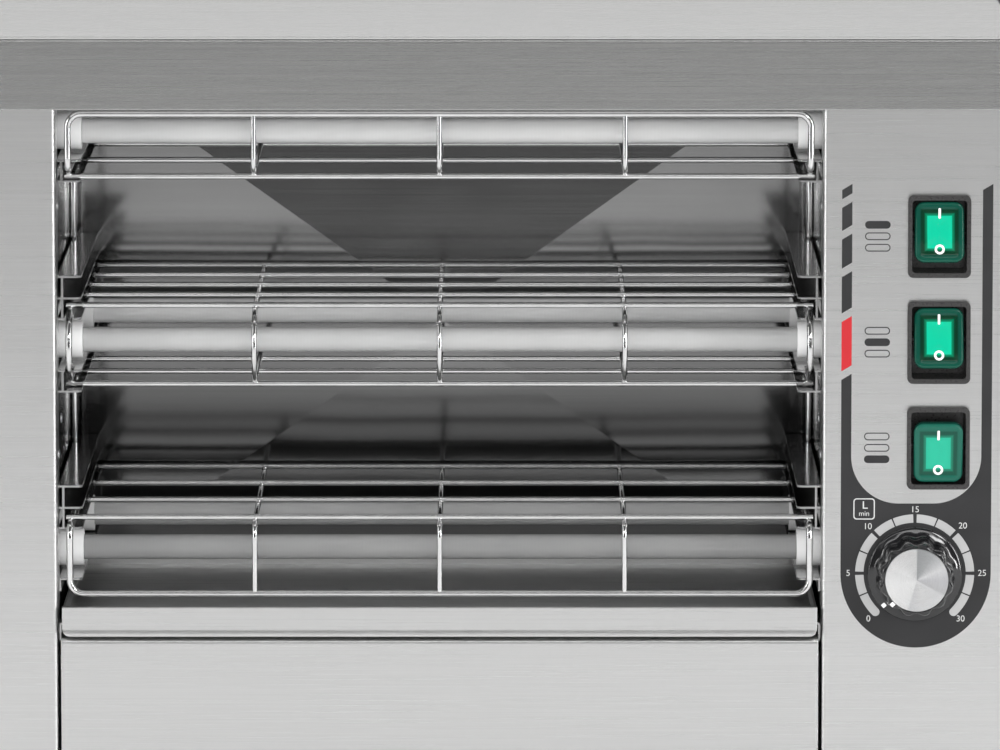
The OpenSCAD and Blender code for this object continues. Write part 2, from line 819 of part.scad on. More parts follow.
// Frosted tube between the sockets of two caps
module quartz_tube(row, place) color(quartz) placed() {
    translate([opening_l + tube_end + seat_gap, tube_depths[place], row_z(row)]) rotate([0, 90, 0])
        difference() {
            cylinder(h = opening_w - 2 * tube_end - 2 * seat_gap, d = tube_od);
            translate([0, 0, -cut])
                cylinder(h = opening_w - 2 * tube_end + 2 * cut, d = tube_od - 2 * tube_wall);
        }
}

// Ceramic cap with a socket for the tube and a hole for the stud
module end_cap(side, d, z) {
    cavity_side(side) translate([cap_in, d, z]) rotate([0, -90, 0]) difference() {
        cylinder(h = cap_len, d = cap_od);
        translate([0, 0, -cut]) cylinder(h = cap_socket + cut, d = tube_od + 2 * seat_gap);
        cylinder(h = cap_len + cut, d = stud_d + 2 * seat_gap);
    }
}
module end_caps(row) color(ceramic) placed() {
    for (side = [-1, 1], d = tube_depths) end_cap(side, d, row_z(row));
}

// Heater windings inside the tubes, shown as their outer sleeve
module heating_coils() color(brass) placed() {
    for (row = [0 : 2], d = tube_depths)
        translate([opening_l + cap_in, d, row_z(row)]) rotate([0, 90, 0]) difference() {
            cylinder(h = opening_w - 2 * cap_in, d = coil_d);
            translate([0, 0, -cut]) cylinder(h = opening_w, d = coil_d - 2 * coil_wall);
        }
}

// Studs that carry the current through the caps
module terminal_studs() color(brass) placed() {
    for (side = [-1, 1], row = [0 : 2], d = tube_depths)
        cavity_side(side) translate([cap_in - cap_len - stud_out, d, row_z(row)]) rotate([0, 90, 0])
            cylinder(h = stud_out + stud_in, d = stud_d);
}

// Strips that join the front and rear tubes of each row inside the left column
module jumper_bars() color(brass) placed() {
    for (row = [0 : 2])
        translate([opening_l + cap_in - cap_len - seat_gap, 0, row_z(row)]) rotate([0, -90, 0])
            linear_extrude(bar_t) difference() {
                union() {
                    translate([-bar_w / 2, tube_front_d]) square([bar_w, tube_rear_d - tube_front_d]);
                    for (d = tube_depths) translate([0, d]) circle(d = bar_w);
                }
                for (d = tube_depths) translate([0, d]) circle(d = stud_d + 2 * seat_gap);
            }
}

// Shallow pan with a folded front lip and a rolled hem
module crumb_tray() color(steel) placed() {
    translate([tray_x0, 0, 0]) {
        to_width(0, tray_w) {
            translate([sheet, tray_z]) square([tray_d - sheet, sheet]);
            translate([sheet, tray_z]) square([sheet, lip_top - tray_z]);
            translate([-tray_proud, lip_top - sheet]) square([tray_proud + 2 * sheet, sheet]);
            translate([tray_d - sheet, tray_z]) square([sheet, tray_side_h]);
        }
        for (x = [0, tray_w - sheet])
            translate([x, sheet, tray_z]) cube([sheet, tray_d - sheet, tray_side_h]);
        intersection() {
            union() {
                translate([0, -tray_proud, lip_bottom + hem_r]) cube([tray_w, sheet, tray_lip_h - hem_r]);
                wire_x(0, tray_w, sheet - tray_proud - hem_r, lip_bottom + hem_r, hem_r);
            }
            translate([tray_w / 2, 0, lip_bottom + tray_lip_h / 2 + lip_corner / 2])
                to_depth(-tray_proud - tray_hem, tray_d)
                    round_rect(tray_w, tray_lip_h + lip_corner, lip_corner);
        }
    }
}

// Switch body with its bezel, the rocker's pocket and the pivot pin
module switch_housing(i) color(black) placed() translate([switch_cx, 0, switch_cz(i)]) {
    difference() {
        union() {
            to_depth(-bezel_proud, 0) round_rect(bezel_w, bezel_h, bezel_r);
            to_depth(0, switch_depth) square([switch_body_w, switch_body_h], center = true);
        }
        to_depth(-bezel_proud - cut, pocket_depth) round_rect(pocket_w, pocket_h, pocket_r);
    }
    translate([0, pivot_d, 0]) rotate([0, 90, 0])
        cylinder(h = switch_body_w - 2 * pin_end_gap, d = pivot_pin, center = true);
    for (x = [-switch_tab_x, switch_tab_x], z = [-switch_tab_z, switch_tab_z])
        translate([x - tab_t / 2, switch_depth - tab_sink, z - tab_w / 2]) cube([tab_t, tab_len, tab_w]);
}

// Rocker with two sloping faces, turned to its resting side about the pivot
module rocker(i) color(green) placed()
    translate([switch_cx, pivot_d, switch_cz(i)]) rotate([rocker_rest[i], 0, 0]) {
        half = rocker_h / 2;
        waist = half - rocker_waist;
        difference() {
            intersection() {
                to_width(-rocker_w / 2, rocker_w / 2) {
                    polygon([[-rocker_reach, half], [rocker_dish - rocker_reach, 0], [-rocker_reach, -half],
                        [-rocker_reach / 2, -waist], [0, -rocker_boss], [0, rocker_boss],
                        [-rocker_reach / 2, waist]]);
                    circle(rocker_boss);
                }
                to_depth(-2 * rocker_reach, rocker_reach) round_rect(rocker_w, rocker_h, rocker_r);
            }
            rotate([0, 90, 0])
                cylinder(h = rocker_w + 2 * cut, d = pivot_pin + 2 * pin_gap, center = true);
        }
    }

// Timer movement behind the panel with its bush in the panel's hole
module timer_body() color(pale_plastic) placed() translate([dial_cx, 0, dial_cz]) {
    difference() {
        union() {
            to_depth(sheet, sheet + timer_plate_t) square([timer_w, timer_w], center = true);
            to_depth(sheet, sheet + timer_depth) circle(r = timer_w / 2 - timer_case_in);
            to_depth(0, sheet + timer_plate_t) circle(r = bush_r);
        }
        to_depth(-cut, sheet + timer_depth / 2) circle(d = shaft_d + 2 * pin_gap);
    }
    for (x = [-timer_tab_x, timer_tab_x])
        translate([x - tab_w / 2, sheet + timer_depth - tab_sink, timer_tab_z]) cube([tab_w, tab_len, tab_t]);
}

// Shaft from the movement into the knob
module timer_shaft() color(chrome) placed() translate([dial_cx, 0, dial_cz])
    to_depth(knob_cap - knob_h - knob_gap, sheet + timer_depth / 2 - run_gap) circle(d = shaft_d);

// Moulded knob: a skirt, a fluted grip and a blind hole for the shaft
module timer_knob() color(black) placed() translate([dial_cx, -knob_gap, dial_cz]) rotate([90, 0, 0])
    difference() {
        rotate_extrude() polygon([[0, 0], [knob_skirt_r, 0], [knob_skirt_r, skirt_t - skirt_edge],
            [knob_skirt_r - skirt_edge, skirt_t], [knob_grip_r, skirt_t + grip_rise],
            [knob_grip_r - grip_draft, knob_h - grip_edge], [knob_grip_r - grip_draft - grip_edge, knob_h],
            [0, knob_h]]);
        for (i = [0 : knob_flutes - 1])
            rotate(i * 360 / knob_flutes)
                translate([knob_grip_r + flute_r - flute_depth, 0, skirt_t + grip_rise + flute_lift])
                    cylinder(h = knob_h, r = flute_r);
        translate([0, 0, -cut]) cylinder(h = knob_h - knob_cap + cut, d = shaft_d + 2 * seat_gap);
        translate([0, 0, knob_h - disc_t]) cylinder(h = disc_t + cut, r = disc_r + seat_gap);
    }

// Spun disc let into the knob's front
module knob_disc() color(chrome) placed() translate([dial_cx, -knob_gap, dial_cz]) rotate([90, 0, 0])
    translate([0, 0, knob_h - disc_t]) cylinder(h = disc_t - disc_recess, r = disc_r);

// Rubber foot with a recess for its screw
module foot(x, d) color(black) placed() translate([x, d, 0])
    rotate_extrude() polygon([[foot_recess_r, 0], [foot_r - foot_taper - foot_edge, 0],
        [foot_r - foot_taper, foot_edge], [foot_r, foot_h], [foot_screw_d / 2 + seat_gap, foot_h],
        [foot_screw_d / 2 + seat_gap, foot_recess_h], [foot_recess_r, foot_recess_h]]);

// Screws up through the feet into the base pan
module foot_screws() color(chrome) placed()
    for (x = [-foot_x, foot_x], d = foot_y)
        translate([x, d, foot_recess_h]) {
            translate([0, 0, -foot_screw_head_h])
                cylinder(h = foot_screw_head_h, r = foot_recess_r - foot_edge);
            cylinder(h = foot_h - foot_recess_h + foot_screw_over, d = foot_screw_d);
        }

// Cable gland through the rear panel: hexagon and dome outside, thread inside
module cable_gland() color(black) placed() translate([gland_x, body_d, gland_z]) rotate([-90, 0, 0])
    difference() {
        union() {
            cylinder(h = gland_flange_t, r = gland_hex_r, $fn = 6);
            cylinder(h = gland_out, r1 = gland_dome_r, r2 = gland_tip_r);
            translate([0, 0, -thread_len]) cylinder(h = thread_len + gland_flange_t, d = gland_d);
        }
        translate([0, 0, -thread_len - cut])
            cylinder(h = thread_len + gland_out + 2 * cut, d = gland_bore);
    }

// Lock nut of the gland inside the rear panel
module gland_nut() color(black) placed() translate([gland_x, body_d - sheet, gland_z]) rotate([90, 0, 0])
    difference() {
        cylinder(h = nut_t, r = gland_hex_r, $fn = 6);
        translate([0, 0, -cut]) cylinder(h = nut_t + 2 * cut, d = gland_d + 2 * seat_gap);
    }

// Mains terminal block on the base pan in the control compartment
module terminal_block() color(pale_plastic) placed()
    translate([gland_x - block_ways * way_pitch / 2, body_d - block_back - block_d, case_bottom + sheet])
        difference() {
            union() {
                cube([block_ways * way_pitch, block_d, block_h]);
                for (x = way_xs)
                    translate([x - way_w / 2, (block_d - way_d) / 2, 0]) cube([way_w, way_d, way_h]);
            }
            for (x = way_xs, d = well_ds)
                translate([x, d, way_h - well_h]) cylinder(h = well_h + cut, d = well_d);
            for (x = way_xs)
                translate([x, -cut, lead_hole_z]) rotate([-90, 0, 0])
                    cylinder(h = block_d + 2 * cut, d = lead_hole_d);
        }

// Pan-head screws of the cover and the rear panel
module case_screws() color(chrome) placed() {
    for (side = [-1, 1], d = cover_screw_ds)
        translate([side * body_w / 2, d, cover_screw_z]) rotate([0, 0, side * 90]) screw();
    for (p = rear_screw_pts)
        translate([p[0], body_d, p[1]]) rotate([0, 0, 180]) screw();
}

top_cover();
left_column();
right_side_panel();
control_panel();
base_pan();
rear_panel();
cavity_left_wall();
cavity_right_wall();
cavity_back_wall();
cavity_roof();
cavity_floor();
upper_rack_rail(-1);  // upper_rack_rail_left
upper_rack_rail(1);  // upper_rack_rail_right
lower_rack_rail(-1);  // lower_rack_rail_left
lower_rack_rail(1);  // lower_rack_rail_right
top_guard_rail(-1);  // top_guard_rail_left
top_guard_rail(1);  // top_guard_rail_right
middle_guard_rail(-1);  // middle_guard_rail_left
middle_guard_rail(1);  // middle_guard_rail_right
bottom_ledge(-1);  // bottom_ledge_left
bottom_ledge(1);  // bottom_ledge_right
tray_runner(-1);  // tray_runner_left
tray_runner(1);  // tray_runner_right
top_guard();
middle_guard();
bottom_guard();
for (row = [0 : 2], place = [0, 1])
    quartz_tube(row, place);
for (row = [0 : 2])
    end_caps(row);
heating_coils();
terminal_studs();
jumper_bars();
crumb_tray();
for (i = [0 : 2]) {
    switch_housing(i);
    rocker(i);
}
timer_body();
timer_shaft();
timer_knob();
knob_disc();
foot(-foot_x, foot_y[0]);  // foot_front_left
foot(foot_x, foot_y[0]);  // foot_front_right
foot(-foot_x, foot_y[1]);  // foot_rear_left
foot(foot_x, foot_y[1]);  // foot_rear_right
foot_screws();
cable_gland();
gland_nut();
terminal_block();
case_screws();
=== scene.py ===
"""Looks of the double-deck quartz toaster: finishes, panel print, switches, knob, light and camera."""
import json
import math

import bmesh
import bpy
from mathutils import Matrix, Vector


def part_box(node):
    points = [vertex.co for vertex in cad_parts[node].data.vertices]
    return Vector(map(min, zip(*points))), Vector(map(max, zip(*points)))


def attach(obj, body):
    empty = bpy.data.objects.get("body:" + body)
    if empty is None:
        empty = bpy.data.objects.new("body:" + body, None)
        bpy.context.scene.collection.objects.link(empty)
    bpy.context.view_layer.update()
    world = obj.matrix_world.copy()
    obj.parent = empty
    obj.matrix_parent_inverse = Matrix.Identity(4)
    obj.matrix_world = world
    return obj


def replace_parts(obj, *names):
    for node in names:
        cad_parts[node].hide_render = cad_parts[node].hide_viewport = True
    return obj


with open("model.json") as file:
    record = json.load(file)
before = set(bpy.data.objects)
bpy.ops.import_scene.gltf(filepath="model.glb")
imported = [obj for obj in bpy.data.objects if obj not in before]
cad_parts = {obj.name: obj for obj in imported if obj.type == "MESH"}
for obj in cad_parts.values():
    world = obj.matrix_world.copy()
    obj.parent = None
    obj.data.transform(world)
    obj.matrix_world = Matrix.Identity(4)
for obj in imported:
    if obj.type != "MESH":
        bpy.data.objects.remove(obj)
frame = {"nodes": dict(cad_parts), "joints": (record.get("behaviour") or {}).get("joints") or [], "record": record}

MM = 0.001


def grey(value):
    return (value, value, value)


nodes = frame["nodes"]
joints = {joint["name"]: joint for joint in frame["joints"]}
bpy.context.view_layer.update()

# Places taken from the frame
panel_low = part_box("control_panel")[0]
knob_low, knob_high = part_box("timer_knob")
FRONT = panel_low.y
PANEL_X = panel_low.x
PANEL_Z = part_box("base_pan")[1].z
OPENING_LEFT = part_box("left_column")[1].x

# Panel print, in mm from the panel's inner edge and the fascia's top edge; the scale's gaps in degrees
PRINT_THICK = 0.06
STRIPE_W = 4.5
STRIPE_TOP = 198.7
STRIPE_SLANT = 2.7
STRIPE_GAP = 3.8
STRIPE_LENGTHS = (4.1, 10.2, 12.8, 16.0)
RED_LENGTH = 21.8
FIELD_X = 41.6
FIELD_R = 33.1
TONGUE_BOTTOM = 60.0
TONGUE_R = 21.0
DIAL = Vector((41.2, 29.0))
SCALE_OUTER = 26.2
SCALE_INNER = 22.5
SCALE_STEPS = 12
SCALE_SWEEP = 270.0
WIDE_GAP = 1.75
THIN_GAP = 0.7
NUMBER_H = 2.8
CAP_SHARE = 0.72
LAST_MINUTE = 30
NUMBER_REACH = {0: 28.7, 5: 29.3, 10: 29.4, 15: 28.3, 20: 29.8, 25: 29.7, 30: 28.7}
ICON = Vector((18.8, 57.6))
ICON_W = 9.4
ICON_R = 1.4
ICON_INNER_R = 1.1
ICON_HANDS = ((-0.6, 3.4), (-0.6, 0.1), (1.6, 0.1), (1.6, 0.6), (-0.05, 0.6), (-0.05, 3.4))
UNIT_H = 2.3
UNIT_DROP = 2.1
PILL_X = 24.2
PILL_W = 11.2
PILL_H = 3.4
PILL_PITCH = 5.05
PILL_EASE = 0.01
LINE_W = 0.45

# Painted shade and painted light by height above the floor, as shares of the span in metres, and the winding seen
# in the tubes
PAINTED_LIGHT_SPAN = 0.4
# Painted shade on the cavity walls: darker towards the bottom, darkest in a band near 0.15 m
CAVITY_PAINTED_SHADE = ((0.22, grey(0.42)), (0.34, grey(0.42)), (0.375, grey(0.19)), (0.395, grey(0.19)),
               (0.435, grey(0.36)), (0.54, grey(0.75)), (0.62, grey(1.0)))
# Painted shade on the front tubes: the lower rows darker
QUARTZ_ROW_PAINTED_SHADE = ((0.29, grey(0.36)), (0.53, grey(0.60)), (0.76, grey(0.78)))
# Painted light on the rear tubes, lighter than the front tubes though they sit in their shade
REAR_TUBE_PAINTED_LIGHT = ((0.29, grey(0.60)), (0.53, grey(1.08)), (0.76, grey(1.08)))
COIL_PITCH = 1.6 * MM

# Steel: how squarely a face looks along an axis to be brushed as such, and the share of fine lines
FACING = 0.7
FINE_SHARE = 0.65

# Rockers, in mm about the pivot: tilt at rest in degrees, under 0 when on; insets and depths of the back;
# insets and lifts of the edge; colours by share of a span out from the window, the dark ring painted shade
SWITCHES = (1, 2, 3)
ROCKER_W = 21.6
ROCKER_H = 26.6
ROCKER_REACH = 14.0
ROCKER_DISH = 1.2
ROCKER_CREASE = 0.8
ROCKER_R = 4.2
ROCKER_LEAST_R = 0.3
ROCKER_REST = {1: -9.0, 2: -9.0, 3: 9.0}
ROCKER_BACK = ((1.6, -5.5), (0.0, -9.0))
ROCKER_EDGE = ((0.0, 1.5), (0.06, 0.9), (0.3, 0.42), (0.7, 0.14), (1.2, 0.02), (1.8, 0.0), (2.7, 0.0),
               (3.0, 0.1), (4.4, 0.1), (4.7, 0.0), (7.0, 0.0), (9.0, 0.0), (10.2, 0.0))
ON_MARK_W = 1.05
ON_MARK_H = 4.5
ON_MARK_R = 0.45
ON_MARK_Z = 8.2
OFF_MARK_OUTER = 2.2
OFF_MARK_INNER = 1.2
OFF_MARK_Z = -7.6
OFF_MARK_STEPS = 36
WINDOW_W = 10.7
WINDOW_H = 14.2
RING_SPAN = 8.0
# The dark ring in these tones is painted shade of the rocker's inner wall
ROCKER_ON_PAINTED_SHADE = ((0.0, (0.003, 0.38, 0.225)), (0.24, (0.003, 0.41, 0.24)), (0.27, (0.002, 0.165, 0.080)),
              (0.36, (0.001, 0.105, 0.050)), (0.43, (0.001, 0.028, 0.012)), (0.58, (0.001, 0.025, 0.011)),
              (0.66, (0.002, 0.046, 0.030)), (1.0, (0.003, 0.062, 0.040)))
# The off rocker's paler tones are a painted sheen; its dark ring is painted shade
ROCKER_OFF_PAINTED_SHADE_SHEEN = ((0.0, (0.016, 0.37, 0.24)), (0.24, (0.014, 0.35, 0.225)), (0.27, (0.009, 0.175, 0.108)),
               (0.36, (0.006, 0.125, 0.076)), (0.43, (0.003, 0.058, 0.037)), (0.58, (0.003, 0.055, 0.035)),
               (0.66, (0.008, 0.095, 0.065)), (1.0, (0.010, 0.105, 0.073)))

# Knob, in mm: height above the panel, radius and flute depth of each ring
KNOB_RINGS = ((0.0, 20.6, 0.0), (0.3, 20.9, 0.0), (2.3, 20.9, 0.0), (2.8, 20.75, 0.0), (3.15, 20.3, 0.0),
              (3.35, 19.7, 0.0), (3.9, 18.3, 0.1), (4.4, 17.6, 0.5), (5.2, 17.25, 1.1), (6.6, 17.15, 1.4),
              (18.2, 16.65, 1.4), (19.6, 16.45, 1.4), (20.5, 16.05, 1.3), (21.1, 15.5, 1.0),
              (21.4, 14.9, 0.6), (21.5, 14.3, 0.1), (21.5, 13.95, 0.0), (20.4, 13.9, 0.0), (20.3, 6.0, 0.0))
KNOB_FLUTES = 12
KNOB_STEPS = 144
FLUTE_SHARPNESS = 1.3

# Pointer lines on the knob, in mm: heights and radii that follow its skin
POINTER_ANGLE = 225.0
POINTER_W = 1.8
POINTER_SUNK = 0.3
POINTER_PROUD = 0.06
POINTER_SKIRT = ((3.9, 18.4), (3.62, 19.0), (3.35, 19.7), (3.15, 20.3))
POINTER_GRIP = ((21.5, 14.05), (21.5, 14.3), (21.4, 14.9), (21.1, 15.5), (20.6, 16.0))

# Painted reflection: fan of light and dark on the knob's spun disc, by share of a turn
FAN_PAINTED_REFLECTION = ((0.0, (0.62, 0.62, 0.64)), (0.07, (0.80, 0.80, 0.81)), (0.16, (0.52, 0.53, 0.54)),
             (0.245, (0.46, 0.47, 0.48)), (0.255, (0.84, 0.84, 0.84)), (0.42, (0.93, 0.93, 0.93)),
             (0.45, (0.85, 0.85, 0.85)), (0.62, (0.96, 0.96, 0.96)), (0.70, (0.95, 0.95, 0.95)),
             (0.71, (0.80, 0.80, 0.81)), (0.80, (0.90, 0.90, 0.90)), (0.91, (0.84, 0.84, 0.85)),
             (0.93, (0.62, 0.62, 0.63)), (1.0, (0.62, 0.62, 0.64)))

# Rivets on the cavity's walls, in mm: height above the fascia and depth; rings by height and radius
WALL_RIVETS = ((191.0, 7.0), (81.0, 7.0), (94.0, 30.0))
RIVET_RINGS = ((0.0, 2.3), (0.25, 2.3), (0.6, 2.0), (0.85, 1.4), (0.95, 0.6))
ROUND_STEPS = 24

# Upright rods at the back of the decks, in mm: distance from the end and inset of each end's rings
ROD_R = 1.5
ROD_DEPTH = 153.0
ROD_END = ((0.0, 0.4), (0.5, 0.1), (1.2, 0.0))

# Stage, in metres
FLOOR_R = 3.2
FLOOR_DROP = 0.0002
FLOOR_STEPS = 72
FLOOR_PALE = 0.82
WORLD_PALE = 0.9
WORLD_LEVEL = 0.12


# Shader helpers
def new_material(name):
    material = bpy.data.materials.new(name)
    material.use_nodes = True
    tree = material.node_tree
    tree.nodes.clear()
    output = tree.nodes.new("ShaderNodeOutputMaterial")
    shader = tree.nodes.new("ShaderNodeBsdfPrincipled")
    tree.links.new(shader.outputs["BSDF"], output.inputs["Surface"])
    return material, tree, shader


def node(tree, kind, **values):
    made = tree.nodes.new(kind)
    for key, value in values.items():
        setattr(made, key, value)
    return made


def wire(tree, source, target):
    tree.links.new(source, target)


def math_node(tree, operation, a, b=None, clamp=False):
    made = node(tree, "ShaderNodeMath", operation=operation, use_clamp=clamp)
    for index, value in enumerate((a, b)):
        if value is None:
            continue
        if isinstance(value, (int, float)):
            made.inputs[index].default_value = value
        else:
            wire(tree, value, made.inputs[index])
    return made.outputs[0]


def ramp(tree, factor, stops):
    made = node(tree, "ShaderNodeValToRGB")
    elements = made.color_ramp.elements
    while len(elements) < len(stops):
        elements.new(0.5)
    for element, (position, colour) in zip(elements, stops):
        element.position = position
        element.color = (*colour, 1.0)
    wire(tree, factor, made.inputs["Fac"])
    return made.outputs["Color"]


def noise(tree, vector, scale, detail=2.0, rough=0.5):
    made = node(tree, "ShaderNodeTexNoise")
    made.inputs["Scale"].default_value = scale
    made.inputs["Detail"].default_value = detail
    made.inputs["Roughness"].default_value = rough
    wire(tree, vector, made.inputs["Vector"])
    return made.outputs["Fac"]


def bump(tree, shader, height, strength, distance, base=None):
    made = node(tree, "ShaderNodeBump")
    made.inputs["Strength"].default_value = strength
    made.inputs["Distance"].default_value = distance
    wire(tree, height, made.inputs["Height"])
    if base is not None:
        wire(tree, base, made.inputs["Normal"])
    wire(tree, made.outputs["Normal"], shader.inputs["Normal"])
    return made.outputs["Normal"]


def object_coords(tree):
    return node(tree, "ShaderNodeTexCoord").outputs["Object"]


def split(tree, vector):
    """X, Y and Z outputs of a vector."""
    made = node(tree, "ShaderNodeSeparateXYZ")
    wire(tree, vector, made.inputs[0])
    return made.outputs


def faces_along(tree, axis):
    """1 where the surface faces along the axis, to either side, and 0 elsewhere."""
    normal = split(tree, node(tree, "ShaderNodeNewGeometry").outputs["Normal"])
    return math_node(tree, "GREATER_THAN", math_node(tree, "ABSOLUTE", normal[axis]), FACING)


def grain_vector(tree, along, across):
    """Object coordinates stretched along the brushing: X on fronts and tops, Y on sides."""
    place = split(tree, object_coords(tree))
    side = faces_along(tree, "X")
    top = faces_along(tree, "Z")
    run = node(tree, "ShaderNodeMix", data_type="FLOAT")
    wire(tree, side, run.inputs["Factor"])
    wire(tree, place["X"], run.inputs["A"])
    wire(tree, place["Y"], run.inputs["B"])
    cross = node(tree, "ShaderNodeMix", data_type="FLOAT")
    wire(tree, top, cross.inputs["Factor"])
    wire(tree, place["Z"], cross.inputs["A"])
    wire(tree, place["Y"], cross.inputs["B"])
    joined = node(tree, "ShaderNodeCombineXYZ")
    wire(tree, math_node(tree, "MULTIPLY", run.outputs["Result"], along), joined.inputs["X"])
    wire(tree, math_node(tree, "MULTIPLY", cross.outputs["Result"], across), joined.inputs["Y"])
    wire(tree, math_node(tree, "ADD", side, math_node(tree, "MULTIPLY", top, 2.0)), joined.inputs["Z"])
    return joined.outputs[0]


def soft_edges(tree, radius):
    """Normal of a slightly rounded edge, as a folded or cut sheet has."""
    made = node(tree, "ShaderNodeBevel", samples=6)
    made.inputs["Radius"].default_value = radius
    return made.outputs["Normal"]


def brush_tangent(tree):
    """Direction across the brushing lines: up on upright faces, to the rear on tops."""
    top = faces_along(tree, "Z")
    joined = node(tree, "ShaderNodeCombineXYZ")
    wire(tree, top, joined.inputs["Y"])
    wire(tree, math_node(tree, "SUBTRACT", 1.0, top), joined.inputs["Z"])
    return joined.outputs[0]


def tinted(tree, colours, painted_light):
    """Colours darkened or lightened by height above the floor, as painted shade and painted light."""
    place = split(tree, object_coords(tree))
    height = math_node(tree, "MULTIPLY", place["Z"], 1.0 / PAINTED_LIGHT_SPAN)
    shade = node(tree, "ShaderNodeMix", data_type="RGBA", blend_type="MULTIPLY")
    shade.inputs["Factor"].default_value = 1.0
    wire(tree, colours, shade.inputs["A"])
    wire(tree, ramp(tree, height, painted_light), shade.inputs["B"])
    return shade.outputs["Result"]


def brushed_steel(name, colour, roughness, spread, grain, stretch, edge, wave=0.0, contrast=0.08, painted_light=()):
    """Sheet steel with fine long brushing lines and rounded edges. Wave gives a slight ripple, and the height
    ramp darkens it as painted shade."""
    material, tree, shader = new_material(name)
    shader.inputs["Metallic"].default_value = 1.0
    shader.inputs["Anisotropic"].default_value = stretch
    wire(tree, brush_tangent(tree), shader.inputs["Tangent"])
    fine = noise(tree, grain_vector(tree, along=9.0, across=6500.0), scale=1.0, detail=3.0, rough=0.65)
    broad = noise(tree, grain_vector(tree, along=2.5, across=900.0), scale=1.0, detail=3.0, rough=0.6)
    both = math_node(tree, "ADD", math_node(tree, "MULTIPLY", fine, FINE_SHARE),
                     math_node(tree, "MULTIPLY", broad, 1.0 - FINE_SHARE))
    low = tuple(c * (1.0 - contrast) for c in colour)
    high = tuple(min(1.0, c * (1.0 + contrast)) for c in colour)
    colours = ramp(tree, both, ((0.3, low), (0.7, high)))
    wire(tree, tinted(tree, colours, painted_light) if painted_light else colours, shader.inputs["Base Color"])
    wire(tree, ramp(tree, both, ((0.25, grey(roughness - spread)), (0.75, grey(roughness + spread)))),
         shader.inputs["Roughness"])
    normal = soft_edges(tree, edge)
    if wave:
        ripple = noise(tree, object_coords(tree), scale=16.0, detail=1.0)
        normal = bump(tree, shader, ripple, strength=1.0, distance=wave, base=normal)
    bump(tree, shader, both, strength=grain, distance=0.00002, base=normal)
    return material


def chrome_wire(name):
    """Bright drawn wire with faint draw marks."""
    material, tree, shader = new_material(name)
    shader.inputs["Metallic"].default_value = 1.0
    mottle = noise(tree, object_coords(tree), scale=90.0, detail=4.0)
    wire(tree, ramp(tree, mottle, ((0.3, grey(0.78)), (0.7, grey(0.88)))), shader.inputs["Base Color"])
    wire(tree, ramp(tree, mottle, ((0.3, grey(0.07)), (0.75, grey(0.13)))), shader.inputs["Roughness"])
    return material


def frosted_quartz(name, painted_light):
    """White frosted tube with the faint turns of the winding showing through, with painted shade and painted light
    by height, row by row.
    """
    material, tree, shader = new_material(name)
    coords = object_coords(tree)
    place = split(tree, coords)
    turns = math_node(tree, "SINE", math_node(tree, "MULTIPLY", place["X"], 2 * math.pi / COIL_PITCH))
    cloud = noise(tree, coords, scale=22.0, detail=3.0)
    tone = math_node(tree, "ADD", math_node(tree, "MULTIPLY", turns, 0.03), cloud)
    milk = ramp(tree, tone, ((0.25, (0.74, 0.745, 0.745)), (0.75, (0.84, 0.84, 0.835))))
    # Painted shade and painted light by height, row by row
    wire(tree, tinted(tree, milk, painted_light), shader.inputs["Base Color"])
    shader.inputs["Subsurface Weight"].default_value = 0.7
    shader.inputs["Subsurface Radius"].default_value = (0.006, 0.006, 0.006)
    shader.inputs["Subsurface Scale"].default_value = 1.0
    wire(tree, ramp(tree, cloud, ((0.3, grey(0.30)), (0.7, grey(0.42)))), shader.inputs["Roughness"])
    shader.inputs["Coat Weight"].default_value = 0.3
    shader.inputs["Coat Roughness"].default_value = 0.25
    bump(tree, shader, turns, strength=0.012, distance=0.00005)
    return material


def moulded(name, colour, roughness, coat=0.0, speck=900.0, depth=0.00003, strength=0.25, edge=0.0,
            gloss=0.5):
    """Plastic, rubber, ceramic or ink with a fine moulded, fired or printed skin."""
    material, tree, shader = new_material(name)
    coords = object_coords(tree)
    skin = noise(tree, coords, scale=speck, detail=3.0)
    blotch = noise(tree, coords, scale=45.0)
    low = tuple(c * 0.92 for c in colour)
    high = tuple(min(1.0, c * 1.06 + 0.001) for c in colour)
    wire(tree, ramp(tree, blotch, ((0.3, low), (0.7, high))), shader.inputs["Base Color"])
    wire(tree, ramp(tree, skin, ((0.3, grey(max(0.03, roughness - 0.06))), (0.7, grey(roughness + 0.06)))),
         shader.inputs["Roughness"])
    shader.inputs["Specular IOR Level"].default_value = gloss
    shader.inputs["Coat Weight"].default_value = coat
    shader.inputs["Coat Roughness"].default_value = 0.06
    bump(tree, shader, skin, strength, depth, soft_edges(tree, edge) if edge else None)
    return material


def paper(name, value):
    """Plain pale backdrop paper with a fine tooth."""
    material, tree, shader = new_material(name)
    tooth = noise(tree, object_coords(tree), scale=900.0)
    wire(tree, ramp(tree, tooth, ((0.3, grey(value * 0.99)), (0.7, grey(value * 1.01)))),
         shader.inputs["Base Color"])
    shader.inputs["Roughness"].default_value = 0.9
    shader.inputs["Specular IOR Level"].default_value = 0.1
    return material


def turned_metal(name, colour, roughness):
    """Turned or stamped metal with fine marks."""
    material, tree, shader = new_material(name)
    shader.inputs["Metallic"].default_value = 1.0
    marks = noise(tree, object_coords(tree), scale=1400.0)
    low = tuple(c * 0.85 for c in colour)
    wire(tree, ramp(tree, marks, ((0.3, low), (0.7, colour))), shader.inputs["Base Color"])
    wire(tree, ramp(tree, marks, ((0.3, grey(roughness - 0.07)), (0.7, grey(roughness + 0.07)))),
         shader.inputs["Roughness"])
    bump(tree, shader, marks, strength=0.1, distance=0.00003)
    return material


